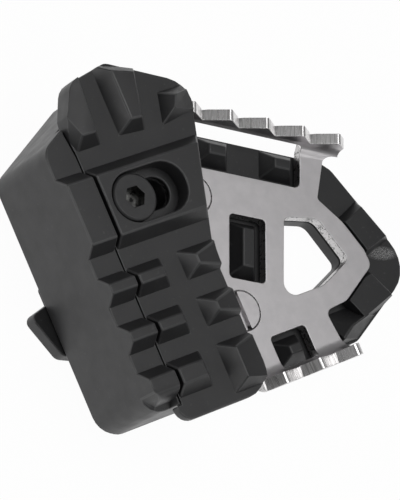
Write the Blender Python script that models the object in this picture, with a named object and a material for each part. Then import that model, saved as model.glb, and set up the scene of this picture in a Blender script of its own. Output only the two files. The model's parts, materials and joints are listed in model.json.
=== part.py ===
"""Brake pedal extension: a ribbed riser pad that slides on a toothed, bent step plate over a lugged base.

Metres, +Z up. X runs along the tread's ribs, Y runs towards the pad's head, Z is up from the base's underside.
Plan positions are written from the pad screw's axis; one empty moves the whole part to its middle.
"""
import math

import bmesh
import bpy
from mathutils import Vector

MM = 0.001

# Levels and clearances
SEAT_GAP = 0.3 * MM
BASE_THICKNESS = 3.3 * MM
PLATE_THICKNESS = 2.5 * MM
LUG_HEIGHT = 3.2 * MM
PAD_HEIGHT = 21.6 * MM
PAD_RELIEF = 3.3 * MM
CAP_SLAB = 2.0 * MM
DECK_THICKNESS = 2.4 * MM
PAD_WALL = 2.4 * MM

PLATE_BOTTOM = BASE_THICKNESS + SEAT_GAP
PLATE_TOP = PLATE_BOTTOM + PLATE_THICKNESS
PAD_SKIRT = BASE_THICKNESS + SEAT_GAP
PAD_SEAT = PLATE_TOP + SEAT_GAP
PAD_TOP = PAD_SEAT + PAD_HEIGHT
PAD_LAND = PAD_TOP - PAD_RELIEF
CAP_BOTTOM = PAD_LAND - CAP_SLAB
DECK_TOP = CAP_BOTTOM - SEAT_GAP
CAVITY_TOP = DECK_TOP - DECK_THICKNESS

# Pad plan
PAD_LEFT = -14.0 * MM
PAD_RIGHT = 14.45 * MM
PAD_FRONT = -41.1 * MM
LIP_FRONT = -44.8 * MM
LIP_LEFT = -8.3 * MM
FLARE_Y = -14.9 * MM
FLARE_RADIUS = 15.0 * MM
HEAD_CORNER = (25.3 * MM, 19.0 * MM)
HEAD_RADIUS = 6.2 * MM
HEAD_PEAK = (7.9 * MM, 28.0 * MM)
HEAD_LOBE = (-3.7 * MM, 25.8 * MM)
HEAD_TIP = (-7.1 * MM, 19.5 * MM)
HEAD_ROOT = (-7.5 * MM, 16.6 * MM)
SHOULDER_Y = 14.6 * MM
OVERHANG = 2.0 * MM
PAD_CORNER = 5.0 * MM
SEAM_X = -7.1 * MM
SEAM_TOP = 12.5 * MM

# Tread relief
SLOPE_RUN = 2.1 * MM
RIB_WIDTH = 2.0 * MM
RIB_PITCH = 10.0 * MM
FIRST_RIB = -15.7 * MM
RIB_COUNT = 3
RIB_END = -0.5 * MM
LAST_RIB_WIDTH = 3.3 * MM
STUB_START = 8.0 * MM
STUB_FALL = 2.1 * MM
LAST_STUB_WIDTH = 6.4 * MM
PLATFORM_HALF = 6.4 * MM
PLATFORM_RIGHT = 17.0 * MM
SEAM_NOTCH = 0.8 * MM
ROLL_START = 2.1 * MM
ROLL_FOOT = 22.3 * MM
ROLL_END = 21.0 * MM
OVERRUN = 2.0 * MM
FAR = 80.0 * MM

# Lugs of the head whose tops fall towards the edge: feet, and (x, y, drop) corners of the tops
HEAD_LUG = (((-6.4 * MM, 12.4 * MM), (-0.6 * MM, 12.5 * MM), (0.8 * MM, 30.0 * MM), (-12.0 * MM, 30.0 * MM),
             (-8.4 * MM, 17.7 * MM)),
            ((-6.0 * MM, 14.8 * MM, 0), (-2.6 * MM, 14.7 * MM, 0), (-1.2 * MM, 30.0 * MM, 0),
             (-8.0 * MM, 30.0 * MM, 1.2 * MM), (-7.8 * MM, 20.0 * MM, 1.7 * MM)))
EDGE_LUG = (((15.1 * MM, 12.3 * MM), (25.6 * MM, 12.3 * MM), (26.4 * MM, 19.1 * MM), (17.0 * MM, 19.1 * MM)),
            ((17.3 * MM, 14.4 * MM, 0), (23.6 * MM, 13.6 * MM, 3.0 * MM), (24.2 * MM, 17.9 * MM, 3.0 * MM),
             (18.8 * MM, 17.1 * MM, 0)))

# Pad screw, its slot and its nut
SCREW_RADIUS = 3.0 * MM
SCREW_HEAD_RADIUS = 5.0 * MM
SCREW_HEAD_HEIGHT = 3.7 * MM
SCREW_CHAMFER = 0.4 * MM
SCREW_TIP = 0.6 * MM
SOCKET_ACROSS = 4.0 * MM
SOCKET_DEPTH = 2.3 * MM
COUNTERBORE_DEPTH = 4.1 * MM
SLIDE_TRAVEL = 7.5 * MM
BOSS_WALL = 2.6 * MM
NUT_ACROSS = 10.0 * MM
NUT_HEIGHT = 2.7 * MM
NUT_BOTTOM = 0.5 * MM

# Webs under the deck and the keys that guide the slide
WEB_THICKNESS = 2.0 * MM
WEB_ROWS = (8.4 * MM, -24.0 * MM)
KEY_LEFT = 1.5 * MM
KEY_LENGTH = 8.0 * MM
KEY_WIDTH = 3.0 * MM
KEY_DEPTH = 1.8 * MM

# Step plate
PLATE_TURN = math.radians(-27.0)
BEND_RADIUS = 2.5 * MM
BEND_STEPS = 6
FLANGE_TIP = 11.3 * MM
TOOTH_RISE = 3.2 * MM
TOOTH_STEEP = 3.5 * MM
UPPER_FLANGE = 31.2 * MM
UPPER_START = 15.0 * MM
UPPER_END = 61.0 * MM
UPPER_PITCH = 8.9 * MM
UPPER_PEAK = 14.3 * MM
LOWER_FLANGE = 44.3 * MM
LOWER_START = 24.4 * MM
LOWER_END = 50.0 * MM
LOWER_PITCH = 9.8 * MM
LOWER_PEAK = 28.6 * MM
TOOTH_COUNT = 6
NECK_LEFT = 51.8 * MM
NECK_RIGHT = 57.9 * MM
NECK_FILLET = 3.0 * MM
NECK_EAR = 2.4 * MM
HIDDEN_NECK = 20.0 * MM
WINDOW_FRONT = 19.0 * MM
UPPER_WINDOW_BEND = math.radians(57.0)
LOWER_WINDOW_BEND = math.radians(43.0)
LOWER_WINDOW = 5.4 * MM
LOWER_NECK = 6.4 * MM
HOLE_FRONT = 11.7 * MM
PLATE_LEFT = -9.0 * MM
FRONT_MARGIN = 1.4 * MM
PLATE_BACK = 12.4 * MM

# Base
BASE_LEFT = -10.6 * MM
BASE_FRONT = -41.1 * MM
BASE_RIM = 27.1 * MM
HOOK_TIP = -17.9 * MM
LUG_RUN = 2.1 * MM
RIM_MARGIN = 0.2 * MM
UPPER_LUGS = ((29.4 * MM, 33.4 * MM), (45.4 * MM, 49.2 * MM))
UPPER_LUG_BACK = 24.7 * MM
LEFT_LUG = (37.6 * MM, 40.2 * MM, -0.9 * MM, 7.4 * MM)
LOWER_LUG = (35.7 * MM, 38.6 * MM, 0.5 * MM, 2.3 * MM)

# Plate screws and nuts
PLATE_SCREWS = {"upper": (28.7 * MM, -0.4 * MM), "lower": (28.5 * MM, -26.7 * MM)}
PLATE_SCREW_HEAD = 4.2 * MM
PLATE_SCREW_RADIUS = 2.0 * MM
PLATE_SCREW_RIM = 0.15 * MM
PLATE_SCREW_TIP = 0.3 * MM
SCREW_SLOT_WIDTH = 1.1 * MM
SCREW_SLOT_DEPTH = 1.0 * MM
PLATE_NUT_ACROSS = 7.0 * MM
PLATE_NUT_HEIGHT = 1.9 * MM
PLATE_NUT_BOTTOM = 0.2 * MM

ARC_STEP = math.radians(15)
ROUND_SIDES = 36


def turned_point(along, across):
    """Plan point from its distances along and across the upper flange."""
    cosine = math.cos(PLATE_TURN)
    sine = math.sin(PLATE_TURN)
    return along * cosine - across * sine, along * sine + across * cosine


def turned_corners(corners):
    """Corners in plan from (along, across, radius) corners in the upper flange's directions."""
    return [(*turned_point(along, across), radius) for along, across, radius in corners]


def scaled(*corners):
    """Corners given in millimetres, turned to metres."""
    return [tuple(value * MM for value in corner) for corner in corners]


def rounded(corners):
    """Closed outline from (x, y, radius) corners, each an arc that touches both of its sides."""
    outline = []
    for index, (x, y, radius) in enumerate(corners):
        corner = Vector((x, y))
        if radius == 0:
            outline.append(corner)
            continue
        before = (Vector(corners[index - 1][:2]) - corner).normalized()
        after = (Vector(corners[(index + 1) % len(corners)][:2]) - corner).normalized()
        half = before.angle(after) / 2
        centre = corner + (before + after).normalized() * radius / math.sin(half)
        start = corner + before * radius / math.tan(half) - centre
        end = corner + after * radius / math.tan(half) - centre
        first = math.atan2(start.y, start.x)
        sweep = math.remainder(math.atan2(end.y, end.x) - first, math.tau)
        steps = max(2, round(abs(sweep) / ARC_STEP))
        for step in range(steps + 1):
            angle = first + sweep * step / steps
            outline.append(centre + radius * Vector((math.cos(angle), math.sin(angle))))
    return outline


def circle(x, y, radius, sides=ROUND_SIDES):
    """Round or polygonal outline."""
    angles = [math.tau * side / sides for side in range(sides)]
    return [Vector((x + radius * math.cos(angle), y + radius * math.sin(angle))) for angle in angles]


def hexagon(x, y, across):
    """Hexagonal outline from its size across flats."""
    return circle(x, y, across / math.sqrt(3), sides=6)


def slot(left, right, middle, half_width):
    """Outline of a round-ended slot between two end centres."""
    start = [math.radians(90 + angle) for angle in range(0, 181, 15)]
    end = [math.radians(270 + angle) for angle in range(0, 181, 15)]
    points = [(left, angle) for angle in start] + [(right, angle) for angle in end]
    return [Vector((x + half_width * math.cos(angle), middle + half_width * math.sin(angle))) for x, angle in points]


def rectangle(left, right, front, back):
    """Rectangular outline."""
    return [Vector((left, front)), Vector((right, front)), Vector((right, back)), Vector((left, back))]


def offset(outline, distance):
    """Outline moved outwards, by one distance or by one for each side; minus is inwards."""
    count = len(outline)
    distances = distance if isinstance(distance, list) else [distance] * count
    lines = []
    for index, start in enumerate(outline):
        side = (Vector(outline[(index + 1) % count]) - Vector(start)).normalized()
        lines.append((Vector(start) + Vector((side.y, -side.x)) * distances[index], side))
    moved = []
    for index in range(count):
        (point, side), (other, turn) = lines[index - 1], lines[index]
        cross = side.x * turn.y - side.y * turn.x
        gap = other - point
        reach = (gap.x * turn.y - gap.y * turn.x) / cross if abs(cross) > 1e-6 else gap.dot(side)
        moved.append(point + side * reach)
    return moved


def fallen_lug(foot, crest):
    """Lug of the tread with a top that falls, from its foot and from (x, y, drop) corners of its top."""
    plan = [Vector(point) for point in foot]
    top = [Vector((x, y, PAD_TOP - drop)) for x, y, drop in crest]
    return loft([at_level(plan, PAD_LAND - MM), at_level(plan, PAD_LAND), top])


def at_level(outline, level):
    """Outline lifted to a level."""
    return [Vector((point[0], point[1], level)) for point in outline]


def loft(rings):
    """Closed solid through rings with the same number of points."""
    shape = bmesh.new()
    rows = [[shape.verts.new(point) for point in ring] for ring in rings]
    for lower, upper in zip(rows, rows[1:]):
        for index in range(len(lower)):
            following = (index + 1) % len(lower)
            shape.faces.new((lower[index], lower[following], upper[following], upper[index]))
    shape.faces.new(list(reversed(rows[0])))
    shape.faces.new(rows[-1])
    bmesh.ops.recalc_face_normals(shape, faces=shape.faces)
    return shape


def prism(outline, bottom, top):
    """Upright prism on an outline."""
    return loft([at_level(outline, bottom), at_level(outline, top)])


def lug(top_outline, runs, land, top):
    """Raised lug with sloping sides, from its top outline and the run of each slope."""
    foot = offset(top_outline, runs)
    return loft([at_level(foot, land - MM), at_level(foot, land), at_level(top_outline, top)])


def turned(x, y, profile):
    """Turned solid from (radius, level) steps, bottom to top."""
    return loft([at_level(circle(x, y, radius), level) for radius, level in profile])


def material(name, colour, roughness, metallic):
    """Principled finish."""
    made = bpy.data.materials.new(name)
    made.use_nodes = True
    shader = made.node_tree.nodes["Principled BSDF"]
    shader.inputs["Base Color"].default_value = (*colour, 1.0)
    shader.inputs["Roughness"].default_value = roughness
    shader.inputs["Metallic"].default_value = metallic
    return made


def solid(name, shapes, finish=None):
    """Object from one bmesh solid, or from several that stay apart; without a finish it is a tool."""
    mesh = bpy.data.meshes.new(name)
    whole = bmesh.new()
    for shape in shapes if isinstance(shapes, list) else [shapes]:
        shape.to_mesh(mesh)
        whole.from_mesh(mesh)
        shape.free()
    whole.to_mesh(mesh)
    whole.free()
    made = bpy.data.objects.new(name, mesh)
    bpy.context.collection.objects.link(made)
    if finish is None:
        made.hide_render = True
        made.display_type = "WIRE"
    else:
        mesh.materials.append(finish)
        mesh.shade_smooth()
        mesh.set_sharp_from_angle(angle=math.radians(25))
    return made


def combine(target, other, operation):
    """Boolean of one object with another."""
    step = target.modifiers.new(other.name, "BOOLEAN")
    step.operation = operation
    step.object = other
    step.solver = "EXACT"


def cut(target, name, shapes):
    """Cut new shapes out of an object."""
    combine(target, solid(name, shapes), "DIFFERENCE")


def add(target, name, shapes):
    """Join new shapes to an object."""
    combine(target, solid(name, shapes), "UNION")


def keep(target, name, shapes):
    """Keep only what lies inside new shapes."""
    combine(target, solid(name, shapes), "INTERSECT")


def cap_outline():
    """Outline of the tread cap, with its front lip, side flare and rounded head."""
    edge = SEAM_X + SEAT_GAP / 2
    notch = PAD_FRONT - SEAT_GAP
    return rounded([
        (edge, notch, 0),
        (LIP_LEFT, notch, 0),
        (LIP_LEFT, LIP_FRONT, 3.0 * MM),
        (PAD_RIGHT, LIP_FRONT, 5.5 * MM),
        (PAD_RIGHT, FLARE_Y, FLARE_RADIUS),
        (*HEAD_CORNER, HEAD_RADIUS),
        (*HEAD_PEAK, 2.5 * MM),
        (*HEAD_LOBE, 4.0 * MM),
        (*HEAD_TIP, 1.5 * MM),
        (*HEAD_ROOT, 0),
        (edge, SEAM_TOP, 0),
    ])


def wall_outline():
    """Outline of the riser's walls."""
    right = PAD_RIGHT - OVERHANG
    return rounded([
        (PAD_LEFT, PAD_FRONT, PAD_CORNER),
        (right, PAD_FRONT, 3.0 * MM),
        (right, FLARE_Y, FLARE_RADIUS),
        (HEAD_CORNER[0] - 1.5 * OVERHANG, HEAD_CORNER[1] - OVERHANG / 2, HEAD_RADIUS - MM),
        (HEAD_PEAK[0] - OVERHANG / 4, HEAD_PEAK[1] - OVERHANG, 3.0 * MM),
        (PAD_LEFT, SHOULDER_Y, 4.0 * MM),
    ])


def strip_outline():
    """Reach of the riser's own strip of the tread, left of the seam."""
    edge = SEAM_X - SEAT_GAP / 2
    root = HEAD_ROOT[0] - SEAT_GAP
    points = ((PAD_LEFT - FAR, -FAR), (edge, -FAR), (edge, SEAM_TOP), (root, HEAD_ROOT[1]), (root, FAR),
              (PAD_LEFT - FAR, FAR))
    return [Vector(point) for point in points]


def rib_rows():
    """Front edge of each tread rib, front edge of its stub, and the back edge of both."""
    rows = []
    for index in range(RIB_COUNT):
        back = FIRST_RIB - index * RIB_PITCH + RIB_WIDTH / 2
        last = index == RIB_COUNT - 1
        rows.append((back - (LAST_RIB_WIDTH if last else RIB_WIDTH),
                     back - (LAST_STUB_WIDTH if last else RIB_WIDTH), back))
    return rows


def stub(front, back):
    """Hipped rib end at the tread's right side, with a crest that falls towards the edge."""
    outer = PAD_RIGHT + OVERRUN
    foot = offset(rectangle(STUB_START, outer, front, back), [SLOPE_RUN, 0, SLOPE_RUN, SLOPE_RUN])
    fall = STUB_FALL * (outer - STUB_START) / (PAD_RIGHT - STUB_START)
    spread = SLOPE_RUN * fall / PAD_RELIEF
    crest = [
        Vector((STUB_START, front, PAD_TOP)),
        Vector((outer, front - spread, PAD_TOP - fall)),
        Vector((outer, back + spread, PAD_TOP - fall)),
        Vector((STUB_START, back, PAD_TOP)),
    ]
    return loft([at_level(foot, PAD_LAND - MM), at_level(foot, PAD_LAND), crest])


def roll_profile(front):
    """Fall of the pad's front left corner, as (y, level) steps down to the wall at the given front."""
    start = rib_rows()[-1][2] - ROLL_START
    reach = start - front
    drop = PAD_TOP - ROLL_FOOT
    shape = ((0, 0), (0.25, 0.04), (0.42, 0.17), (0.55, 0.38), (0.64, 0.66), (0.7, 1.0))
    return [(start - along * reach, PAD_TOP - fall * drop) for along, fall in shape] + [(front, ROLL_END)]


def corner_roll():
    """Room over the rolled part of the front left corner."""
    top = PAD_TOP + OVERRUN
    start = roll_profile(PAD_FRONT)[0][0]
    rings = []
    for x in (PAD_LEFT - OVERRUN, SEAM_X - SEAM_NOTCH / 2):
        ring = [Vector((x, start, top))] + [Vector((x, y, level)) for y, level in roll_profile(PAD_FRONT)]
        ring += [Vector((x, PAD_FRONT - OVERRUN, ROLL_END)), Vector((x, PAD_FRONT - OVERRUN, top))]
        rings.append(ring)
    return loft(rings)


def corner_facet():
    """Room over the flat across the rolled corner, with the same chamfer down to the wall."""
    first = Vector((PAD_LEFT, roll_profile(PAD_FRONT)[0][0] - PAD_CORNER / 12))
    second = Vector((PAD_LEFT + PAD_CORNER / 2, roll_profile(PAD_FRONT)[-2][0]))
    along = (second - first).normalized()
    outward = Vector((along.y, -along.x))
    rings = []
    for place in (first - along * OVERRUN, second + along * OVERRUN):
        steps = ((0, PAD_TOP + OVERRUN), (0, ROLL_FOOT), (OVERHANG / 2, ROLL_END), (PAD_CORNER, ROLL_END),
                 (PAD_CORNER, PAD_TOP + OVERRUN))
        rings.append([Vector((*(place + outward * reach), level)) for reach, level in steps])
    return loft(rings)


def strip_relief():
    """Raised parts of the riser's strip of the tread."""
    left = PAD_LEFT - OVERRUN
    right = SEAM_X - SEAM_NOTCH / 2
    rows = [(-PLATFORM_HALF, PLATFORM_HALF)] + [(front, back) for front, _, back in rib_rows()[:-1]]
    rows.append((PAD_FRONT - OVERRUN, rib_rows()[-1][2]))
    runs = [SLOPE_RUN, 0, SLOPE_RUN, 0]
    return [lug(rectangle(left, right, front, back), runs, PAD_LAND, PAD_TOP) for front, back in rows]


def cap_relief():
    """Raised parts of the tread cap: screw platform, ribs, stubs and the three head lugs."""
    left = SEAM_X + SEAM_NOTCH / 2
    run = SLOPE_RUN
    lean = (HEAD_CORNER[0] - PAD_RIGHT) / (HEAD_CORNER[1] - FLARE_Y) * PLATFORM_HALF
    platform = [Vector((left, -PLATFORM_HALF)), Vector((PLATFORM_RIGHT - lean, -PLATFORM_HALF)),
                Vector((PLATFORM_RIGHT + lean, PLATFORM_HALF)), Vector((left, PLATFORM_HALF))]
    wedge = [Vector(point) for point in scaled((6.4, 15.0), (9.1, 14.8), (11.4, 24.0), (6.4, 25.6))]
    shapes = [
        lug(platform, [run, run, run, 0], PAD_LAND, PAD_TOP),
        lug(wedge, [run, run, run, run], PAD_LAND, PAD_TOP),
        fallen_lug(*HEAD_LUG),
        fallen_lug(*EDGE_LUG),
    ]
    for rib_front, stub_front, back in rib_rows():
        shapes.append(lug(rectangle(left, RIB_END, rib_front, back), [run, run, run, 0], PAD_LAND, PAD_TOP))
        shapes.append(stub(stub_front, back))
    return shapes


def cut_screw_slots(target, name):
    """Cut the travel of the pad screw and of its head."""
    shank = SCREW_RADIUS + SEAT_GAP
    head = SCREW_HEAD_RADIUS + SEAT_GAP
    cut(target, name + "_slot", prism(slot(0, SLIDE_TRAVEL, 0, shank), 0, PAD_TOP + OVERRUN))
    cut(target, name + "_counterbore",
        prism(slot(0, SLIDE_TRAVEL, 0, head), PAD_TOP - COUNTERBORE_DEPTH, PAD_TOP + OVERRUN))


def build_cap(finish):
    """Tread cap: ribbed slab right of the seam."""
    cap = solid("tread_cap", prism(rectangle(-FAR, FAR, -FAR, FAR), CAP_BOTTOM, PAD_LAND), finish)
    add(cap, "cap_relief", cap_relief())
    keep(cap, "cap_edge", prism(cap_outline(), CAP_BOTTOM - OVERRUN, PAD_TOP + OVERRUN))
    cut_screw_slots(cap, "cap")
    return cap


def plate_room():
    """Reach of the riser's underside that stands over the step plate, at rest and along the slide."""
    left = PAD_LEFT + PAD_WALL
    front = PAD_FRONT + PAD_WALL
    lean = (HEAD_PEAK[1] - OVERHANG - SHOULDER_Y) / (HEAD_PEAK[0] - OVERHANG / 4 - PAD_LEFT)
    step = PAD_WALL * (math.hypot(1, lean) - lean)
    end = HEAD_PEAK[0] - OVERHANG
    points = ((left, front), (FAR, front), (FAR, FAR), (end, FAR),
              (end, SHOULDER_Y - step + (end - left) * lean), (left, SHOULDER_Y - step))
    return [Vector(point) for point in points]


def build_riser(finish):
    """Riser: hollow walls, deck, left tread strip, screw boss, webs and sliding keys."""
    walls = wall_outline()
    riser = solid("riser_body", prism(rectangle(-FAR, FAR, -FAR, FAR), PAD_SKIRT, DECK_TOP), finish)
    add(riser, "tread_strip", prism(strip_outline(), DECK_TOP - MM, PAD_LAND))
    add(riser, "strip_relief", strip_relief())
    keep(riser, "riser_edge", prism(walls, 0, PAD_TOP + OVERRUN))
    cut(riser, "corner_roll", corner_roll())
    cut(riser, "corner_facet", corner_facet())
    cut(riser, "riser_cavity", prism(offset(walls, -PAD_WALL), 0, CAVITY_TOP))
    half = WEB_THICKNESS / 2
    frame = solid("riser_frame", prism(slot(0, SLIDE_TRAVEL, 0, SCREW_RADIUS + SEAT_GAP + BOSS_WALL), PAD_SKIRT,
                                       CAVITY_TOP + MM))
    add(frame, "riser_webs", [prism(rectangle(-FAR, FAR, row - half, row + half), PAD_SKIRT, CAVITY_TOP + MM)
                              for row in WEB_ROWS])
    keep(frame, "frame_edge", prism(offset(walls, -PAD_WALL / 2), 0, PAD_TOP))
    combine(riser, frame, "UNION")
    cut(riser, "plate_room", prism(plate_room(), 0, PAD_SEAT))
    keys = [prism(rectangle(KEY_LEFT, KEY_LEFT + KEY_LENGTH, row - KEY_WIDTH / 2, row + KEY_WIDTH / 2),
                  PAD_SEAT - KEY_DEPTH, PAD_SEAT + OVERRUN) for row in WEB_ROWS]
    add(riser, "riser_keys", keys)
    cut_screw_slots(riser, "riser")
    return riser


def tooth_row(start, end, peak, pitch, steep):
    """Tip line of a toothed flange as (along, level) points; the steep side runs the given way from each peak."""
    knots = []
    for index in range(-1, TOOTH_COUNT):
        crest = peak + index * pitch
        knots += sorted([(crest, FLANGE_TIP), (crest + steep, FLANGE_TIP - TOOTH_RISE)])
    row = []
    for (left, low), (right, high) in zip(knots, knots[1:]):
        for along in (start, left, end):
            if start <= along <= end and left <= along < right:
                row.append((along, low + (high - low) * (along - left) / (right - left)))
    return row


def flat_reach(level):
    """Distance past the bend line, in the flat sheet, that ends at a level once bent."""
    radius = BEND_RADIUS + PLATE_THICKNESS / 2
    below = PLATE_TOP + BEND_RADIUS - level
    return radius * math.acos(below / radius) if below > 0 else radius * math.pi / 2 - below


def bend_line(face):
    """Distance at which the sheet starts to bend up to a flange with the given outer face."""
    return face - BEND_RADIUS - PLATE_THICKNESS


def plate_corners(tip):
    """Corners of the flat sheet, with toothed flanges or with plain ones up to a distance past the bends."""
    upper = bend_line(UPPER_FLANGE)
    lower = bend_line(LOWER_FLANGE)
    left_front = FRONT_MARGIN - lower
    back = [(along, upper + min(tip, flat_reach(level)), 0)
            for along, level in tooth_row(UPPER_START, UPPER_END, UPPER_PEAK, UPPER_PITCH, TOOTH_STEEP)]
    front = [(along, -lower - min(tip, flat_reach(level)), 0)
             for along, level in tooth_row(LOWER_START, LOWER_END, LOWER_PEAK, LOWER_PITCH, -TOOTH_STEEP)]
    ear = upper + NECK_EAR
    return [
        (PLATE_LEFT, left_front, 3.0 * MM),
        (LOWER_START, left_front, 0),
        *front,
        (48.4 * MM, LOWER_NECK - lower, 1.5 * MM),
        (54.6 * MM, LOWER_NECK - lower + MM / 2, 3.0 * MM),
        *scaled((64.3, -27.2, 2.2), (64.2, -23.5, 1.5), (61.9, -16.6, 8.0), (58.0, -9.9, 1.0)),
        *turned_corners([(NECK_RIGHT, ear, NECK_FILLET), (UPPER_END, ear, 0), *back[::-1],
                         (UPPER_START, WINDOW_FRONT + 2.5 * MM, 3.0 * MM)]),
        (PLATE_LEFT, PLATE_BACK, 3.0 * MM),
    ]


def fold(sheet, outward, face):
    """Bend the sheet up along the line from which its flange starts."""
    middle = BEND_RADIUS + PLATE_THICKNESS / 2
    line = bend_line(face)
    quarter = middle * math.pi / 2
    for step in range(BEND_STEPS + 1):
        place = outward * (line + quarter * step / BEND_STEPS)
        bmesh.ops.bisect_plane(sheet, geom=sheet.verts[:] + sheet.edges[:] + sheet.faces[:], dist=MM / 1000,
                               plane_co=place, plane_no=outward)
    for vertex in sheet.verts:
        past = vertex.co.dot(outward) - line
        if past <= 0:
            continue
        radius = PLATE_TOP + BEND_RADIUS - vertex.co.z
        angle = min(past, quarter) / middle
        vertex.co += outward * (radius * math.sin(angle) - past)
        vertex.co.z = PLATE_TOP + BEND_RADIUS - radius * math.cos(angle) + max(0, past - quarter)


def flat_sheet():
    """Step plate before folding, with its three windows."""
    below, above = PLATE_BOTTOM - OVERRUN, PLATE_TOP + OVERRUN
    middle = BEND_RADIUS + PLATE_THICKNESS / 2
    upper = bend_line(UPPER_FLANGE) + middle * UPPER_WINDOW_BEND
    lower = bend_line(LOWER_FLANGE)
    front, back = -lower - middle * LOWER_WINDOW_BEND, LOWER_WINDOW - lower
    windows = [
        turned_corners([(HIDDEN_NECK, WINDOW_FRONT, 1.5 * MM), (NECK_LEFT, WINDOW_FRONT, 1.5 * MM),
                        (NECK_LEFT, upper, 1.0 * MM), (HIDDEN_NECK, upper, 1.0 * MM)]),
        turned_corners(scaled((34.5, -4.0, 1.0), (43.2, -4.0, 1.0), (43.2, 10.2, 1.0), (34.5, 10.2, 1.0))),
        [(32.3 * MM, front, MM / 2), (41.8 * MM, front, MM / 2), (41.8 * MM, back, MM), (32.3 * MM, back, MM)],
    ]
    flat = solid("flat_sheet", prism(rounded(plate_corners(FAR)), PLATE_BOTTOM, PLATE_TOP))
    cut(flat, "plate_windows", [prism(rounded(window), below, above) for window in windows])
    sheet = bmesh.new()
    sheet.from_mesh(flat.evaluated_get(bpy.context.evaluated_depsgraph_get()).data)
    return sheet


def build_plate(finish):
    """Step plate: one sheet with two toothed flanges, three windows, a large hole and its screw holes."""
    sheet = flat_sheet()
    fold(sheet, Vector((*turned_point(0, 1), 0)), UPPER_FLANGE)
    fold(sheet, Vector((0, -1, 0)), LOWER_FLANGE)
    plate = solid("step_plate", sheet, finish)
    below, above = PLATE_BOTTOM - OVERRUN, PLATE_TOP + OVERRUN
    cut(plate, "plate_hole", prism(hole_outline(), below, above))
    cut(plate, "screw_hole", prism(circle(0, 0, SCREW_RADIUS + SEAT_GAP), below, above))
    half = KEY_WIDTH / 2 + SEAT_GAP
    ways = [prism(rectangle(KEY_LEFT - SLIDE_TRAVEL - SEAT_GAP, KEY_LEFT + KEY_LENGTH + SEAT_GAP, row - half,
                            row + half), below, above) for row in WEB_ROWS]
    cut(plate, "key_ways", ways)
    cut(plate, "countersinks", [turned(*place, grown_profile(plate_screw_profile(), below, above))
                                for place in PLATE_SCREWS.values()])
    return plate


def hole_outline():
    """Large hole through the plate and the base."""
    front = HOLE_FRONT - bend_line(LOWER_FLANGE)
    return rounded([(39.4 * MM, front, 2.5 * MM), (50.5 * MM, front, 4.0 * MM), (59.3 * MM, front + 3.3 * MM, 1.5 * MM),
                    (56.0 * MM, -13.9 * MM, 3.0 * MM), (48.0 * MM, -11.2 * MM, 1.5 * MM)])


def plate_screw_profile():
    """Countersunk screw as (radius, level) steps, bottom to top."""
    cone = PLATE_SCREW_HEAD - PLATE_SCREW_RADIUS
    rim = PLATE_TOP - PLATE_SCREW_RIM
    return [(PLATE_SCREW_RADIUS, PLATE_SCREW_TIP), (PLATE_SCREW_RADIUS, rim - cone), (PLATE_SCREW_HEAD, rim),
            (PLATE_SCREW_HEAD, PLATE_TOP)]


def grown_profile(profile, below, above):
    """Room round a turned profile, open at both ends."""
    grown = [(radius + SEAT_GAP, level) for radius, level in profile]
    return [(grown[0][0], below)] + grown[1:-1] + [(grown[-1][0], above)]


def base_outline():
    """Outline of the base, with its rim, rounded tail and side hook."""
    return rounded([
        (BASE_LEFT, BASE_FRONT, 4.0 * MM),
        *scaled((55.0, -41.1, 3.0), (76.1, -30.4, 7.8), (66.0, -3.28, 6.0)),
        (*turned_point(-2.3 * MM, BASE_RIM), 5.0 * MM),
        (BASE_LEFT, 13.8 * MM, 4.0 * MM),
        (BASE_LEFT, -7.5 * MM, 0),
        (PAD_LEFT + OVERHANG, -7.5 * MM, 1.0 * MM),
        (PAD_LEFT + OVERHANG, -11.4 * MM, 0),
        (HOOK_TIP, -12.9 * MM, 1.5 * MM),
        (HOOK_TIP + 3.4 * MM, -22.4 * MM, 2.0 * MM),
        (BASE_LEFT, -24.0 * MM, 0),
    ])


def window_lugs():
    """Lugs of the base that stand up through the plate's windows."""
    run = LUG_RUN
    upper = [rectangle(left, right, UPPER_LUG_BACK - run, UPPER_LUG_BACK) for left, right in UPPER_LUGS]
    outlines = [[Vector(turned_point(*point)) for point in outline] for outline in upper + [rectangle(*LEFT_LUG)]]
    left, right, front, back = LOWER_LUG
    lower = bend_line(LOWER_FLANGE)
    outlines.append(rectangle(left, right, front - lower, back - lower))
    top = BASE_THICKNESS + LUG_HEIGHT
    return [lug(outline, [run] * 4, BASE_THICKNESS, top) for outline in outlines]


def rim_lugs():
    """Lugs of the base along the plate's free edge."""
    run = LUG_RUN
    top = BASE_THICKNESS + LUG_HEIGHT
    side = [Vector(point) for point in scaled((70.8, -22.3), (67.8, -14.7), (58.0, -18.2), (60.6, -25.0))]
    corner = [Vector(point) for point in scaled((66.0, -34.5), (63.1, -28.8), (54.0, -30.4), (57.0, -37.0))]
    foot = [Vector(point) for point in scaled((46.5, -40.7), (55.2, -40.6), (61.9, -37.2), (60.4, -33.6), (50.0, -33.6),
                                              (45.0, -35.6))]
    crest = [Vector(point) for point in scaled((48.5, -40.6), (53.2, -38.0), (58.1, -36.9), (58.0, -36.6),
                                               (53.0, -37.6), (48.4, -40.2))]
    return {
        "side_lug": lug(side, [run, 0.6 * run, 0, 0.6 * run], BASE_THICKNESS, top),
        "corner_lug": lug(corner, [run, 0.4 * run, 0, 0.6 * run], BASE_THICKNESS, top),
        "ridge_lug": loft([at_level(foot, BASE_THICKNESS - MM), at_level(foot, BASE_THICKNESS),
                           at_level(crest, top)]),
    }


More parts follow.
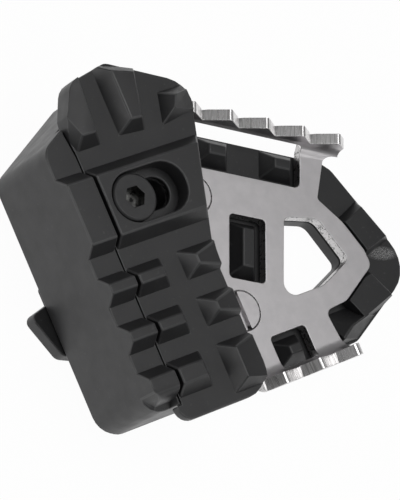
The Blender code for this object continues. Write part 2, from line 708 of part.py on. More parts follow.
def build_base(finish):
    """Base: thick sheet with a hook, window lugs, rim lugs, the large hole and nut pockets."""
    base = solid("tread_base", prism(base_outline(), 0, BASE_THICKNESS), finish)
    room = offset(rounded(plate_corners(BEND_RADIUS + PLATE_THICKNESS)), SEAT_GAP)
    reach = offset(base_outline(), -RIM_MARGIN)
    for name, shape in rim_lugs().items():
        rim = solid(name, shape)
        cut(rim, name + "_room", prism(room, BASE_THICKNESS - OVERRUN, PAD_TOP))
        keep(rim, name + "_reach", prism(reach, BASE_THICKNESS - OVERRUN, PAD_TOP))
        combine(base, rim, "UNION")
    add(base, "window_lugs", window_lugs())
    cut(base, "base_hole", prism(hole_outline(), -OVERRUN, PAD_TOP))
    cut(base, "pad_nut_pocket", prism(hexagon(0, 0, NUT_ACROSS + 2 * SEAT_GAP), -OVERRUN, PAD_SKIRT))
    clearance = PLATE_SCREW_RADIUS + SEAT_GAP
    pocket = PLATE_NUT_BOTTOM + PLATE_NUT_HEIGHT + SEAT_GAP
    across = PLATE_NUT_ACROSS + 2 * SEAT_GAP
    cut(base, "plate_screw_holes", [prism(circle(*place, clearance), -OVERRUN, PAD_SEAT)
                                    for place in PLATE_SCREWS.values()])
    cut(base, "plate_nut_pockets", [prism(hexagon(*place, across), -OVERRUN, pocket)
                                    for place in PLATE_SCREWS.values()])
    return base


def build_pad_screw(finish):
    """Low-head socket screw of the pad."""
    seat = PAD_TOP - COUNTERBORE_DEPTH + SEAT_GAP
    top = seat + SCREW_HEAD_HEIGHT
    profile = [(SCREW_RADIUS - SCREW_CHAMFER, SCREW_TIP), (SCREW_RADIUS, SCREW_TIP + SCREW_CHAMFER),
               (SCREW_RADIUS, seat), (SCREW_HEAD_RADIUS, seat), (SCREW_HEAD_RADIUS, top - SCREW_CHAMFER),
               (SCREW_HEAD_RADIUS - SCREW_CHAMFER, top)]
    screw = solid("pad_screw", turned(0, 0, profile), finish)
    cut(screw, "pad_screw_socket", prism(hexagon(0, 0, SOCKET_ACROSS), top - SOCKET_DEPTH, top + OVERRUN))
    return screw


def build_plate_screw(name, place, finish):
    """Countersunk slotted screw of the step plate."""
    screw = solid(name, turned(*place, plate_screw_profile()), finish)
    x, y = place
    half = SCREW_SLOT_WIDTH / 2
    reach = PLATE_SCREW_HEAD + OVERRUN
    cut(screw, name + "_slot", prism(rectangle(x - half, x + half, y - reach, y + reach),
                                     PLATE_TOP - SCREW_SLOT_DEPTH, PLATE_TOP + OVERRUN))
    return screw


def build_nut(name, place, across, radius, bottom, height, finish):
    """Thin hexagon nut."""
    nut = solid(name, prism(hexagon(*place, across), bottom, bottom + height), finish)
    cut(nut, name + "_bore", prism(circle(*place, radius + SEAT_GAP), bottom - OVERRUN, bottom + height + OVERRUN))
    return nut


def main():
    """Build every piece and move the whole to its middle."""
    for existing in list(bpy.data.objects):
        bpy.data.objects.remove(existing)
    black = material("black_moulding", (0.024, 0.024, 0.026), 0.5, 0.0)
    steel = material("stainless_sheet", (0.62, 0.62, 0.61), 0.32, 1.0)
    zinc = material("screw_steel", (0.5, 0.5, 0.5), 0.3, 1.0)
    dark = material("black_screw", (0.03, 0.03, 0.032), 0.4, 1.0)
    build_cap(black)
    build_riser(black)
    build_plate(steel)
    build_base(black)
    build_pad_screw(dark)
    build_nut("pad_nut", (0, 0), NUT_ACROSS, SCREW_RADIUS, NUT_BOTTOM, NUT_HEIGHT, zinc)
    for side, place in PLATE_SCREWS.items():
        build_plate_screw("plate_screw_" + side, place, zinc)
        build_nut("plate_nut_" + side, place, PLATE_NUT_ACROSS, PLATE_SCREW_RADIUS, PLATE_NUT_BOTTOM,
                  PLATE_NUT_HEIGHT, zinc)
    across = [point[0] for point in base_outline()]
    deep = [point[1] for point in cap_outline()]
    middle = bpy.data.objects.new("extension_frame", None)
    middle.location = (-(min(across) + max(across)) / 2, -(min(deep) + max(deep)) / 2, 0)
    for piece in list(bpy.data.objects):
        if piece is not middle:
            piece.parent = middle
    bpy.context.collection.objects.link(middle)


main()
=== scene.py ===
"""Brake pedal extension, dressed: moulded pad and base, folded step plate, fasteners, studio."""

import json
import logging
import math
from dataclasses import dataclass, field
from enum import Enum

import bpy
from mathutils import Matrix, Vector
from mathutils.bvhtree import BVHTree
from mathutils.geometry import intersect_point_line

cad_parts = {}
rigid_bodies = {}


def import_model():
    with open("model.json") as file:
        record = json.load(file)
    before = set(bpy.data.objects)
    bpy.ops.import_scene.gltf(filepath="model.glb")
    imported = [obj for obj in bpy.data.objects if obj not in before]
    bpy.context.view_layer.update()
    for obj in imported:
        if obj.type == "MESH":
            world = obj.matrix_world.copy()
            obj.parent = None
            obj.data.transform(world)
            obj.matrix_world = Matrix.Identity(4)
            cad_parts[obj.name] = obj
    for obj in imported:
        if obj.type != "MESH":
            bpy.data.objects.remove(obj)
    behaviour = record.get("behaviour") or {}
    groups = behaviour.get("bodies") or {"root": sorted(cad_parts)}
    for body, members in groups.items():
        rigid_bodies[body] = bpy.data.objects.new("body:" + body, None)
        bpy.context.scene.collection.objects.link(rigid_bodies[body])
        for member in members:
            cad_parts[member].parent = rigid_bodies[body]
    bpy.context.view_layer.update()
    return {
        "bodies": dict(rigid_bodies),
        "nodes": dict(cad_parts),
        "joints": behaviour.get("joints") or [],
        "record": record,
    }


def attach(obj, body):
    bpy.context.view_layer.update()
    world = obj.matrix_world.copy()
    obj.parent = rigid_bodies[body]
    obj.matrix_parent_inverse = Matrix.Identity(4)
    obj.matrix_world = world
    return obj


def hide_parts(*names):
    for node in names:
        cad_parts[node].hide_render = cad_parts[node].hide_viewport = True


LOG = logging.getLogger("pedal_extension")
MM = 0.001
SCREW_AXIS = (-28.3402 * MM, 8.4592 * MM)
UPPER_TURN = math.radians(-27.0)

Socket = bpy.types.NodeSocket


class Face(Enum):
    """Which finish of the folded plate a face takes, by its place in the list of materials."""

    FLAT = 0
    HOLE = 1
    UPPER = 2
    LOWER = 3


class Shader:
    """A node material under construction, with one Principled shader."""

    def __init__(self, name: str, colour: tuple, roughness: float, metallic: float = 0.0) -> None:
        """Start a material from its plain colour and gloss.

        Args:
            name: Name of the material.
            colour: Linear red, green and blue.
            roughness: Principled roughness.
            metallic: Principled metallic.
        """
        self.material = bpy.data.materials.new(name)
        self.material.use_nodes = True
        self.nodes = self.material.node_tree.nodes
        self.links = self.material.node_tree.links
        self.surface = self.nodes["Principled BSDF"]
        self.surface.inputs["Base Color"].default_value = (*colour, 1.0)
        self.surface.inputs["Roughness"].default_value = roughness
        self.surface.inputs["Metallic"].default_value = metallic
        self.place = self.nodes.new("ShaderNodeTexCoord").outputs["Object"]

    def noise(self, scale: float, detail: float = 2.0, stretch: tuple = (1.0, 1.0, 1.0),
              turn: float = 0.0, swirl: float = 0.0) -> Socket:
        """Add a noise pattern on Object coordinates.

        Args:
            scale: Features in a metre.
            detail: Octaves of the noise.
            stretch: How much longer the pattern is along each turned axis.
            turn: Turn of the pattern about Z, in radians.
            swirl: How far the pattern is drawn into streaks.

        Returns:
            The pattern's output socket.
        """
        mapping = self.nodes.new("ShaderNodeMapping")
        mapping.vector_type = "TEXTURE"
        mapping.inputs["Scale"].default_value = stretch
        mapping.inputs["Rotation"].default_value = (0.0, 0.0, turn)
        texture = self.nodes.new("ShaderNodeTexNoise")
        texture.inputs["Scale"].default_value = scale
        texture.inputs["Detail"].default_value = detail
        texture.inputs["Distortion"].default_value = swirl
        self.links.new(self.place, mapping.inputs["Vector"])
        self.links.new(mapping.outputs["Vector"], texture.inputs["Vector"])
        return texture.outputs["Fac"]

    def ramp(self, source: Socket, low: tuple, high: tuple) -> Socket:
        """Turn a pattern into colours.

        Args:
            source: Output socket of the pattern.
            low: A level of the pattern, and the linear colour that it has up to there.
            high: A higher level, and the linear colour that it has from there on.

        Returns:
            The ramp's colour socket.
        """
        ramp = self.nodes.new("ShaderNodeValToRGB")
        for element, (level, colour) in zip(ramp.color_ramp.elements, (low, high)):
            element.position = level
            element.color = (*colour, 1.0)
        self.links.new(source, ramp.inputs["Fac"])
        return ramp.outputs["Color"]

    def span(self, source: Socket, low: float, high: float, across: tuple = (0.3, 0.7)) -> Socket:
        """Map a part of a pattern's range to a range of values.

        Args:
            source: Output socket of the pattern.
            low: Value at the lower end of that part.
            high: Value at its upper end.
            across: The part of the pattern's range that is mapped.

        Returns:
            The mapped output socket.
        """
        mapped = self.nodes.new("ShaderNodeMapRange")
        mapped.inputs["From Min"].default_value = across[0]
        mapped.inputs["From Max"].default_value = across[1]
        mapped.inputs["To Min"].default_value = low
        mapped.inputs["To Max"].default_value = high
        self.links.new(source, mapped.inputs["Value"])
        return mapped.outputs["Result"]

    def combine(self, operation: str, first: Socket, second: Socket) -> Socket:
        """Combine two patterns by arithmetic.

        Args:
            operation: Name of the Math node's operation.
            first: Output socket of one pattern.
            second: Output socket of the other.

        Returns:
            The result's output socket.
        """
        step = self.nodes.new("ShaderNodeMath")
        step.operation = operation
        self.links.new(first, step.inputs[0])
        self.links.new(second, step.inputs[1])
        return step.outputs["Value"]

    def show_white(self, share: float) -> None:
        """Mix plain white into what camera, mirror and glass rays see.

        Args:
            share: Share of white in what they see.
        """
        path = self.nodes.new("ShaderNodeLightPath").outputs
        seen = self.combine("MAXIMUM", path["Is Camera Ray"], path["Is Glossy Ray"])
        seen = self.combine("MAXIMUM", seen, path["Is Transmission Ray"])
        white = self.nodes.new("ShaderNodeEmission")
        mix = self.nodes.new("ShaderNodeMixShader")
        self.links.new(self.span(seen, 0.0, share, across=(0.0, 1.0)), mix.inputs["Fac"])
        self.links.new(self.surface.outputs["BSDF"], mix.inputs[1])
        self.links.new(white.outputs["Emission"], mix.inputs[2])
        self.links.new(mix.outputs["Shader"], self.nodes["Material Output"].inputs["Surface"])

    def spot(self, place: tuple, radii: tuple, turn: float, core: float = 0.45) -> Socket:
        """Add a soft oval spot at a place on the part.

        Args:
            place: Centre of the spot, in the row frame.
            radii: Reach of the spot along its own X, Y and Z.
            turn: Turn of the spot about Z, in radians.
            core: Share of the way in from its rim at which it has its full strength.

        Returns:
            An output socket that is 1 in the spot and falls to 0 at its rim.
        """
        mapping = self.nodes.new("ShaderNodeMapping")
        mapping.vector_type = "TEXTURE"
        mapping.inputs["Location"].default_value = place
        mapping.inputs["Rotation"].default_value = (0.0, 0.0, turn)
        mapping.inputs["Scale"].default_value = radii
        gradient = self.nodes.new("ShaderNodeTexGradient")
        gradient.gradient_type = "SPHERICAL"
        self.links.new(self.place, mapping.inputs["Vector"])
        self.links.new(mapping.outputs["Vector"], gradient.inputs["Vector"])
        return self.span(gradient.outputs["Fac"], 0.0, 1.0, across=(0.0, core))

    def blend(self, share: Socket, under: Socket, over: tuple) -> Socket:
        """Lay a plain colour over another where a pattern says so.

        Args:
            share: Output socket of the pattern.
            under: Colour socket of the surface below.
            over: Linear colour that is laid over it.

        Returns:
            The mixed colour socket.
        """
        mix = self.nodes.new("ShaderNodeMix")
        mix.data_type = "RGBA"
        first, second = (socket for socket in mix.inputs if socket.type == "RGBA")
        second.default_value = (*over, 1.0)
        self.links.new(share, mix.inputs["Factor"])
        self.links.new(under, first)
        return next(socket for socket in mix.outputs if socket.type == "RGBA")

    def colour(self, source: Socket) -> None:
        """Lead a colour to the surface."""
        self.links.new(source, self.surface.inputs["Base Color"])

    def roughness(self, source: Socket) -> None:
        """Lead a value to the surface's roughness."""
        self.links.new(source, self.surface.inputs["Roughness"])

    def bump(self, source: Socket, depth: float, before: Socket = None) -> Socket:
        """Add relief to the surface.

        Args:
            source: Output socket of the height pattern.
            depth: Height of the relief in metres.
            before: Normal output of an earlier relief, if any.

        Returns:
            The relief's normal output.
        """
        bump = self.nodes.new("ShaderNodeBump")
        bump.inputs["Strength"].default_value = 1.0
        bump.inputs["Distance"].default_value = depth
        self.links.new(source, bump.inputs["Height"])
        if before is not None:
            self.links.new(before, bump.inputs["Normal"])
        self.links.new(bump.outputs["Normal"], self.surface.inputs["Normal"])
        return bump.outputs["Normal"]


@dataclass(frozen=True)
class MouldedBlack:
    """Black filled plastic with a fine eroded grain, flecks of dust and, in one place, a rough
    scuffed patch whose reflection is painted into the colour as a light grey spot.

    Scales are in features to a metre. A reach is the part of a pattern's range that shows.
    """

    name: str
    dark: tuple = (0.017, 0.017, 0.018)
    light: tuple = (0.023, 0.023, 0.024)
    gloss: tuple = (0.40, 0.50)
    cloud_scale: float = 90.0
    gloss_scale: float = 350.0
    grain_scale: float = 5200.0
    grain_depth: float = 0.012 * MM
    wave_scale: float = 240.0
    wave_depth: float = 0.02 * MM
    dust_scale: float = 1300.0
    dust_reach: tuple = (0.64, 0.74)
    dust_share: float = 0.35
    dust_colour: tuple = (0.07, 0.07, 0.07)
    grit_scale: float = 4200.0
    grit_reach: tuple = (0.40, 0.64)
    grit_share: float = 0.85
    # Place, reach and colour of the painted reflection on the scuffed patch.
    scuff_reflection: tuple = ()
    scuff_reflection_radii: tuple = (4.4 * MM, 1.7 * MM, 2.4 * MM)
    scuff_reflection_turn: float = math.radians(-16.5)
    scuff_reflection_colour: tuple = (0.34, 0.34, 0.34)

    def make(self) -> bpy.types.Material:
        """Return the finish as a material."""
        shader = Shader(self.name, self.dark, self.gloss[0])
        cloud = shader.noise(self.cloud_scale, detail=3.0)
        colour = shader.ramp(cloud, (0.3, self.dark), (0.7, self.light))
        flecks = shader.noise(self.dust_scale, detail=5.0)
        dust = shader.span(flecks, 0.0, self.dust_share, self.dust_reach)
        colour = shader.blend(dust, colour, self.dust_colour)
        # Painted reflection: a light grey spot, broken up by grit noise, is laid over the colour of
        # the scuffed patch.
        if self.scuff_reflection:
            grit = shader.noise(self.grit_scale, detail=4.0)
            grit = shader.span(grit, 0.0, self.grit_share, self.grit_reach)
            place = shader.spot(self.scuff_reflection, self.scuff_reflection_radii, self.scuff_reflection_turn)
            wear_and_sheen = shader.combine("MULTIPLY", grit, place)
            colour = shader.blend(wear_and_sheen, colour, self.scuff_reflection_colour)
        shader.colour(colour)
        shader.roughness(shader.span(shader.noise(self.gloss_scale, detail=3.0), *self.gloss))
        grain = shader.bump(shader.noise(self.grain_scale, detail=3.0), self.grain_depth)
        shader.bump(shader.noise(self.wave_scale), self.wave_depth, before=grain)
        return shader.material


@dataclass(frozen=True)
class RolledSteel:
    """Satin face of rolled stainless sheet, with a faint grain along one direction."""

    name: str = "rolled_stainless"
    dark: tuple = (0.575, 0.56, 0.57)
    light: tuple = (0.625, 0.607, 0.617)
    gloss: tuple = (0.34, 0.42)
    cloud_scale: float = 420.0
    line_scale: float = 5200.0
    line_stretch: tuple = (26.0, 1.0, 1.0)
    line_turn: float = UPPER_TURN
    line_depth: float = 0.003 * MM

    def make(self) -> bpy.types.Material:
        """Return the finish as a material."""
        shader = Shader(self.name, self.light, self.gloss[0], metallic=1.0)
        lines = shader.noise(self.line_scale, 4.0, self.line_stretch, self.line_turn)
        cloud = shader.noise(self.cloud_scale, detail=5.0)
        shader.colour(shader.ramp(cloud, (0.32, self.dark), (0.68, self.light)))
        shader.roughness(shader.span(lines, *self.gloss))
        shader.bump(lines, self.line_depth)
        return shader.material


@dataclass(frozen=True)
class TornSteel:
    """Rough wall of a hole in the sheet, where the punch tore the metal."""

    name: str = "torn_wall"
    dark: tuple = (0.17, 0.17, 0.17)
    light: tuple = (0.60, 0.59, 0.59)
    gloss: tuple = (0.26, 0.46)
    fleck_scale: float = 1500.0
    fleck_stretch: tuple = (1.0, 1.0, 1.6)
    fleck_swirl: float = 1.4
    fleck_depth: float = 0.025 * MM

    def make(self) -> bpy.types.Material:
        """Return the finish as a material."""
        shader = Shader(self.name, self.light, self.gloss[0], metallic=1.0)
        flecks = shader.noise(self.fleck_scale, 6.0, self.fleck_stretch, swirl=self.fleck_swirl)
        shader.colour(shader.ramp(flecks, (0.38, self.dark), (0.48, self.light)))
        shader.roughness(shader.span(flecks, *self.gloss))
        shader.bump(flecks, self.fleck_depth)
        return shader.material


@dataclass(frozen=True)
class CutSteel:
    """Bright cut edge of the sheet, with fine striations across its thickness."""

    name: str
    turn: float = 0.0
    dark: tuple = (0.42, 0.415, 0.41)
    light: tuple = (0.80, 0.79, 0.79)
    gloss: tuple = (0.40, 0.22)
    line_scale: float = 2600.0
    line_stretch: tuple = (1.0, 22.0, 1.0)
    line_depth: float = 0.008 * MM

    def make(self) -> bpy.types.Material:
        """Return the finish as a material."""
        shader = Shader(self.name, self.light, self.gloss[1], metallic=1.0)
        lines = shader.noise(self.line_scale, 3.0, self.line_stretch, self.turn)
        shader.colour(shader.ramp(lines, (0.34, self.dark), (0.52, self.light)))
        shader.roughness(shader.span(lines, *self.gloss))
        shader.bump(lines, self.line_depth)
        return shader.material


@dataclass(frozen=True)
class ScrewSteel:
    """Machined screw or nut, bright or blackened."""

    name: str
    dark: tuple = (0.42, 0.42, 0.42)
    light: tuple = (0.55, 0.55, 0.55)
    gloss: tuple = (0.30, 0.42)
    metal: float = 1.0
    cloud_scale: float = 700.0
    grain_scale: float = 4200.0
    grain_depth: float = 0.004 * MM

    def make(self) -> bpy.types.Material:
        """Return the finish as a material."""
        shader = Shader(self.name, self.light, self.gloss[0], self.metal)
        cloud = shader.noise(self.cloud_scale, detail=4.0)
        shader.colour(shader.ramp(cloud, (0.35, self.dark), (0.65, self.light)))
        shader.roughness(shader.span(cloud, *self.gloss))
        shader.bump(shader.noise(self.grain_scale, detail=3.0), self.grain_depth)
        return shader.material


@dataclass
class Part:
    """A piece modelled over one node of the frame, with its real edge rounding.

    Edges that bend more than sharp are rounded to edge, and to hairline only where a piece that
    this one fits against is closer than close. share is the part of a narrow face that one
    rounding may take, facing is how squarely two edges look at each other to count as a pair,
    and past straight an edge only carries on another.
    """

    name: str
    node: str
    body: str
    slot: str
    edge: float
    segments: int = 3
    against: tuple = ()
    # Finish for the rounded edges: lighter for wear and for a painted highlight along them.
    wear_and_sheen: str = ""
    merged: float = 0.02 * MM
    flat: float = math.radians(0.3)
    hairline: float = 0.05 * MM
    close: float = 0.2 * MM
    sharp: float = math.radians(24.0)
    crease: float = math.radians(32.0)
    straight: float = math.radians(150.0)
    share: float = 0.45
    facing: float = -0.3
    least: float = 1e-6 * MM
    piece: bpy.types.Object = field(default=None, init=False)

    def build(self, frame: dict, materials: dict) -> bpy.types.Object:
        """Model, dress and place the piece.

        Args:
            materials: Finished materials by name.

        Returns:
            The piece.
        """
        self.copy_node(frame["nodes"][self.node])
        self.lay_finishes(materials)
        self.round_edges([frame["nodes"][name] for name in self.against])
        self.dress()
        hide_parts(self.node)
        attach(self.piece, self.body)
        LOG.info("%s: %d faces", self.name, len(self.piece.data.polygons))
        return self.piece

    def copy_node(self, node: bpy.types.Object) -> None:
        """Start from a merged copy of the node's own mesh."""
        bpy.ops.object.select_all(action="DESELECT")
        node.select_set(True)
        bpy.context.view_layer.objects.active = node
        bpy.ops.object.duplicate()
        self.piece = bpy.context.view_layer.objects.active
        self.piece.name = self.name
        self.piece.data.name = self.name
        bpy.ops.object.parent_clear(type="CLEAR_KEEP_TRANSFORM")
        bpy.ops.mesh.customdata_custom_splitnormals_clear()
        bpy.ops.object.mode_set(mode="EDIT")
        bpy.ops.mesh.select_all(action="SELECT")
        bpy.ops.mesh.remove_doubles(threshold=self.merged)
        bpy.ops.mesh.dissolve_limited(angle_limit=self.flat)
        bpy.ops.mesh.normals_make_consistent(inside=False)
        bpy.ops.object.mode_set(mode="OBJECT")

    def finishes(self) -> tuple:
        """Return the names of the piece's finishes, the plain one first."""
        return (self.slot, self.wear_and_sheen) if self.wear_and_sheen else (self.slot,)

    def lay_finishes(self, materials: dict) -> None:
        """Give the whole piece its plain finish, and put the others after it in its list."""
        self.piece.data.materials.clear()
        for name in self.finishes():
            self.piece.data.materials.append(materials[name])

    def round_edges(self, neighbours: list) -> None:
        """Round every sharp edge, and keep flat faces flat to the eye.

        Args:
            neighbours: Nodes that this piece fits against, where its edges stay nearly sharp.
        """
        self.weigh_edges([BVHTree.FromPolygons([corner.co for corner in node.data.vertices],
                                               [face.vertices[:] for face in node.data.polygons])
                          for node in neighbours])
        bevel = self.piece.modifiers.new("edge", "BEVEL")
        # The rounded edges take the lighter finish, which is partly wear and partly a painted
        # highlight.
        bevel.material = 1 if self.wear_and_sheen else -1
        bevel.width = self.widest()
        bevel.segments = self.segments
        bevel.limit_method = "WEIGHT"
        bevel.use_clamp_overlap = False
        bpy.context.view_layer.objects.active = self.piece
        bpy.ops.object.modifier_apply(modifier=bevel.name)
        bpy.ops.object.shade_smooth_by_angle(angle=self.crease)
        level = self.piece.modifiers.new("flats", "WEIGHTED_NORMAL")
        level.keep_sharp = True
        level.weight = 100
        bpy.ops.object.modifier_apply(modifier=level.name)

    def widest(self) -> float:
        """Return the widest rounding that the piece has anywhere."""
        return self.edge

    def wanted(self, edge: bpy.types.MeshEdge, walls: list) -> float:
        """Return the rounding that an edge has where there is room for it.

        Args:
            edge: An edge of the piece.
            walls: Surfaces of the pieces that this one fits against.

        Returns:
            The width in metres.
        """
        first, second = (self.piece.data.vertices[vertex].co for vertex in edge.vertices)
        middle = (first + second) / 2
        if any(wall.find_nearest(middle, self.close)[0] is not None for wall in walls):
            return self.hairline
        return self.edge

    def weigh_edges(self, walls: list) -> None:
        """Mark each sharp outer edge with the rounding that the edges beside it leave room for.

        Args:
            walls: Surfaces of the pieces that this one fits against.
        """
        mesh = self.piece.data
        sides, fans, widths = {}, {}, {}
        rings = [self.inward_sides(face) for face in mesh.polygons]
        for face, ring in zip(mesh.polygons, rings):
            for key, inward in ring.items():
                sides.setdefault(key, []).append((face.normal, inward))
        for edge in mesh.edges:
            for vertex in edge.vertices:
                fans.setdefault(vertex, []).append(edge)
        for edge in mesh.edges:
            (first, _), (second, inward) = sides[edge.key]
            if first.angle(second) > self.sharp and first.dot(inward) < 0:
                rooms = [self.room(vertex, edge, other)
                         for vertex in edge.vertices for other in fans[vertex]]
                widths[edge.key] = min(self.wanted(edge, walls), *rooms)
        for ring in rings:
            for key in ring.keys() & widths.keys():
                gaps = [self.gap(key, other, ring[key].dot(inward) < self.facing)
                        for other, inward in ring.items()]
                widths[key] = min(widths[key], *gaps)
        self.taper(widths)
        weights = mesh.attributes.new("bevel_weight_edge", "FLOAT", "EDGE")
        for edge in mesh.edges:
            weights.data[edge.index].value = widths.get(edge.key, 0.0) / self.widest()

    def taper(self, widths: dict) -> None:
        """Let the rounding grow only slowly along a run of edges, so that no two of them cross.

        Args:
            widths: Width of the rounding of each edge, by its corners; narrowed in place.
        """
        corners = self.piece.data.vertices
        joins, steps = {}, []
        for key in widths:
            for vertex in key:
                joins.setdefault(vertex, []).append(key)
        for vertex, keys in joins.items():
            start = corners[vertex].co
            for number, first in enumerate(keys):
                for second in keys[number + 1:]:
                    ends = [corners[sum(key) - vertex].co - start for key in (first, second)]
                    bend = math.pi - ends[0].angle(ends[1])
                    if bend < math.pi / 2:
                        grow = self.share * min(end.length for end in ends) * math.sin(bend)
                        loss = math.sin(bend) * math.tan(bend / 2)
                        steps.append((first, second, grow, loss))
        moved = True
        while moved:
            moved = False
            for first, second, grow, loss in steps:
                for wide, narrow in ((first, second), (second, first)):
                    most = widths[narrow] + max(0.0, grow - loss * widths[narrow])
                    if widths[wide] > most + self.least:
                        widths[wide] = most
                        moved = True

    def inward_sides(self, face: bpy.types.MeshPolygon) -> dict:
        """Return the unit direction into a face from each of its edges, by the edge's corners."""
        corners = self.piece.data.vertices
        sides = {}
        for first, second in zip(face.vertices, [*face.vertices[1:], face.vertices[0]]):
            inward = face.normal.cross(corners[second].co - corners[first].co).normalized()
            sides[tuple(sorted((first, second)))] = inward
        return sides

    def gap(self, first: tuple, second: tuple, facing: bool) -> float:
        """Return how wide an edge can be rounded before it meets another edge of the same face.

        Args:
            first: Corners of the edge that is rounded.
            second: Corners of the other edge.
            facing: Whether the two edges look at each other across the face.

        Returns:
            The width in metres, or infinity where the other edge is out of the way.
        """
        if set(first) & set(second):
            return math.inf
        widths = [math.inf]
        corners = self.piece.data.vertices
        for line, points in ((first, second), (second, first)):
            start, end = (corners[point].co for point in line)
            for point in points:
                place = corners[point].co
                along = intersect_point_line(place, start, end)[1]
                if facing or 0 < along < 1:
                    nearest = start.lerp(end, min(1.0, max(0.0, along)))
                    widths.append(self.share * (place - nearest).length)
        return min(widths)

    def room(self, vertex: int, edge: bpy.types.MeshEdge, other: bpy.types.MeshEdge) -> float:
        """Return how wide an edge can be rounded before it runs past an edge beside it.

        Args:
            vertex: Index of the corner that both share.
            edge: The edge that is rounded.
            other: The edge beside it.

        Returns:
            The width in metres, or infinity where the other edge only carries on.
        """
        corners = self.piece.data.vertices
        start = corners[vertex].co
        ends = [corners[sum(line.vertices) - vertex].co - start for line in (edge, other)]
        angle = ends[0].angle(ends[1])
        if edge.index == other.index or angle > self.straight:
            return math.inf
        return self.share * ends[1].length * math.sin(angle)

    def dress(self) -> None:
        """Sort the faces by finish; on a plain piece they are in order already."""


@dataclass
class SheetPart(Part):
    """The folded step plate: satin faces, torn hole walls and bright toothed edges.

    The bends run at upper_line and lower_line from origin, the upper one turned, and their axes
    lie at bend_level. A direction within square of another counts as along it, and the teeth
    begin at teeth past a bend line.
    """

    turn: float = UPPER_TURN
    upper_line: float = 26.2 * MM
    lower_line: float = 39.3 * MM
    bend_level: float = 8.6 * MM
    corner: float = 0.6 * MM
    square: float = 0.8
    teeth: float = 2.0 * MM
    origin: tuple = SCREW_AXIS

    def flanges(self, point: Vector) -> tuple:
        """Place a point of the plate by its two flanges.

        Args:
            point: A point of the plate, in the row frame.

        Returns:
            Each flange's finish, outward direction and the point's distance past its bend line.
        """
        plan = Vector((point.x - self.origin[0], point.y - self.origin[1], 0.0))
        upper = Vector((-math.sin(self.turn), math.cos(self.turn), 0.0))
        lower = Vector((0.0, -1.0, 0.0))
        return ((Face.UPPER, upper, plan.dot(upper) - self.upper_line),
                (Face.LOWER, lower, plan.dot(lower) - self.lower_line))

    def sheet_normal(self, point: Vector) -> Vector:
        """Return the direction in which the sheet's own faces look at a point.

        Args:
            point: A point of the plate, in the row frame.

        Returns:
            The unit direction across the sheet there.
        """
        for _, outward, past in self.flanges(point):
            if past > 0:
                drop = max(0.0, self.bend_level - point.z)
                return (outward * past - Vector((0.0, 0.0, drop))).normalized()
        return Vector((0.0, 0.0, 1.0))

    def finishes(self) -> tuple:
        """Return the names of the plate's finishes, in the order of Face."""
        return (self.slot, "torn_wall", "upper_teeth", "lower_teeth")

    def widest(self) -> float:
        """Return the rounding of the corners of the plate's outline."""
        return self.corner

    def wanted(self, edge: bpy.types.MeshEdge, walls: list) -> float:
        """Return the wide rounding for a corner of the outline, and the fine one for its rims.

        Args:
            edge: An edge of the plate.
            walls: Surfaces of the pieces that it fits against.

        Returns:
            The width in metres.
        """
        first, second = (self.piece.data.vertices[vertex].co for vertex in edge.vertices)
        across = self.sheet_normal((first + second) / 2)
        if abs((second - first).normalized().dot(across)) > self.square:
            return self.corner
        return super().wanted(edge, walls)

    def zone(self, point: Vector) -> Face:
        """Return which cut edge a point of the plate's outline lies on."""
        for face, _, past in self.flanges(point):
            if past > self.teeth:
                return face
        return Face.HOLE

    def dress(self) -> None:
        """Give faces of the sheet a satin finish and cut edges their own."""
        for face in self.piece.data.polygons:
            across = abs(face.normal.dot(self.sheet_normal(face.center)))
            kind = Face.FLAT if across > self.square else self.zone(face.center)
            face.material_index = kind.value


@dataclass
class SocketScrew(Part):
    """The pad's black screw, bare metal inside its hexagon socket."""

    axis: tuple = SCREW_AXIS
    socket_radius: float = 2.36 * MM
    socket_depth: float = 3.0 * MM
    rim: float = 0.05 * MM

    def finishes(self) -> tuple:
        """Return the names of the screw's finishes, black and bare."""
        return (self.slot, "socket_bare")

    def dress(self) -> None:
        """Give the socket's walls and floor the bare finish."""
        top = max(corner.co.z for corner in self.piece.data.vertices)
        for face in self.piece.data.polygons:
            middle = face.center
            radius = math.hypot(middle.x - self.axis[0], middle.y - self.axis[1])
            sunk = self.rim < top - middle.z < self.socket_depth
            face.material_index = int(radius < self.socket_radius and sunk)


@dataclass
class Softbox:
    """A square area lamp that looks at the part."""

    name: str
    place: tuple
    width: float
    power: float

    def build(self, target: Vector) -> None:
        """Add the lamp.

        Args:
            target: Point at which the lamp looks.
        """
        lamp = bpy.data.lights.new(self.name, "AREA")
        lamp.shape = "SQUARE"
        lamp.size = self.width
        lamp.energy = self.power
        made = bpy.data.objects.new(self.name, lamp)
        made.location = self.place
        made.rotation_euler = (target - Vector(self.place)).to_track_quat("-Z", "Y").to_euler()
        bpy.context.collection.objects.link(made)


